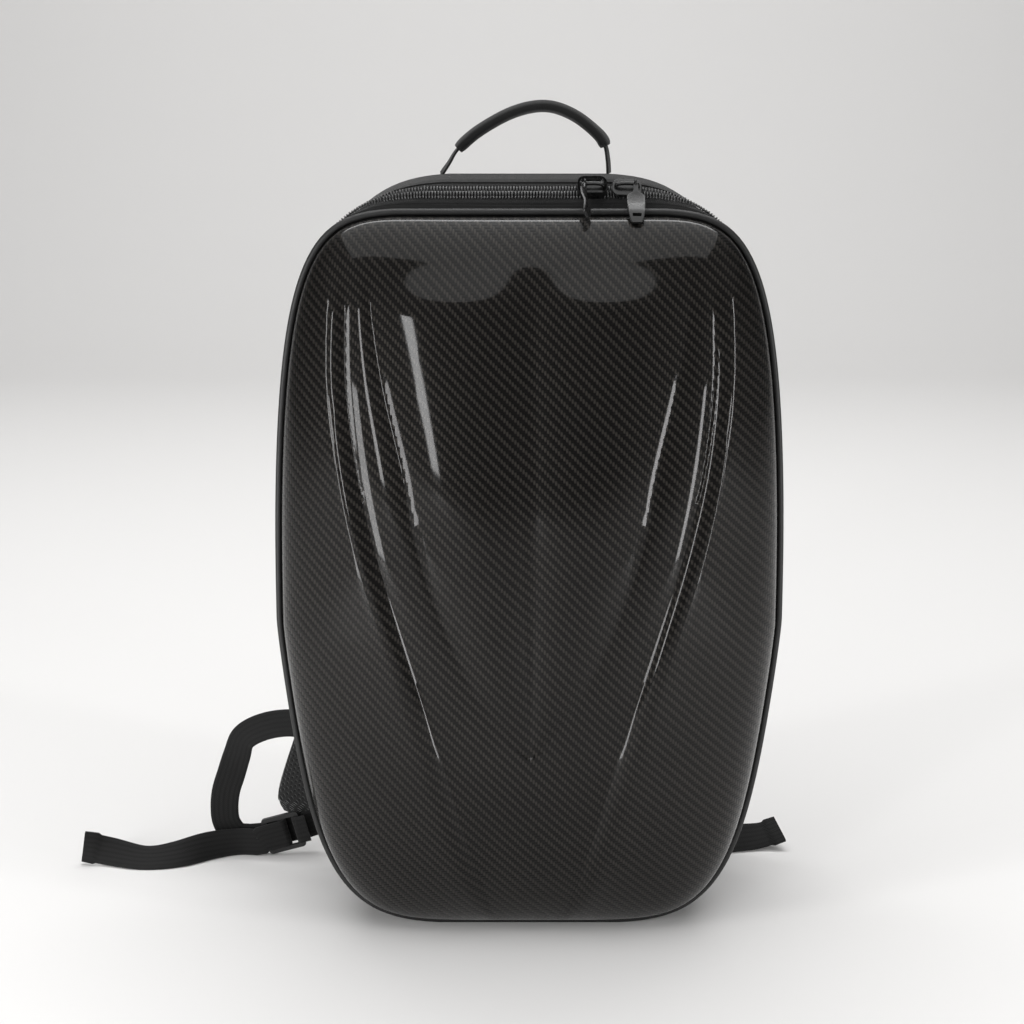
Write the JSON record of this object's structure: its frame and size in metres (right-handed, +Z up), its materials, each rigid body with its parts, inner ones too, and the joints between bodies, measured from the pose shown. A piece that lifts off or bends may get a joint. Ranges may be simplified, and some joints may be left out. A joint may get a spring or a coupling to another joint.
{
  "type": "hard shell backpack",
  "caption": "Upright backpack with a moulded glossy hard shell front, zipped fabric body, top handle, padded shoulder straps and adjusting straps.",
  "frame": {"origin": "on the floor, on the centreline, in the plane where the shell meets the fabric body; the flat base stands on the floor at this height", "axes": "+Z up; the moulded shell faces -Y and the shoulder straps +Y; +X to the right seen from the front"},
  "size_m": [0.5, 0.2193, 0.5306],
  "materials": {
    "carbon_shell": "carbon-fibre twill under a clear high-gloss coat",
    "piping": "smooth black piping with a soft sheen",
    "fabric": "matt black woven fabric",
    "mesh_fabric": "black padded air mesh",
    "webbing": "matt black woven webbing",
    "coil": "black nylon zipper coil",
    "slider_metal": "dark gunmetal paint, semi-gloss",
    "lock_plastic": "black moulded plastic"
  },
  "bodies": {
    "bag": {"shell": "carbon_shell", "shell_piping": "piping", "front_skirt": "fabric", "zipper_tape": "fabric", "hinge_panel": "fabric", "zipper_coil": "coil", "rear_gusset": "fabric", "back_piping": "piping", "back_panel": "mesh_fabric", "handle_strap": "webbing", "handle_grip": "fabric", "slider_left": "slider_metal", "slider_right": "slider_metal", "shoulder_strap_left": "mesh_fabric", "shoulder_strap_right": "mesh_fabric", "strap_tab_left": "webbing", "strap_tab_right": "webbing", "ladder_lock_left": "lock_plastic", "ladder_lock_right": "lock_plastic", "strap_webbing_left": "webbing", "strap_webbing_right": "webbing"},
    "pull_left": {"pull_left": "slider_metal"},
    "pull_right": {"pull_right": "slider_metal"}
  },
  "joints": [
    {"name": "pull_left_swing", "type": "hinge", "parent": "bag", "child": "pull_left", "pos_m": [0.0339, 0.01047, 0.48078], "axis": [-1, 0, 0], "range_deg": [0, 170]},
    {"name": "pull_right_swing", "type": "hinge", "parent": "bag", "child": "pull_right", "pos_m": [0.06517, 0.01054, 0.48074], "axis": [-0.9998, 0, 0.0198], "range_deg": [0, 170]}
  ]
}
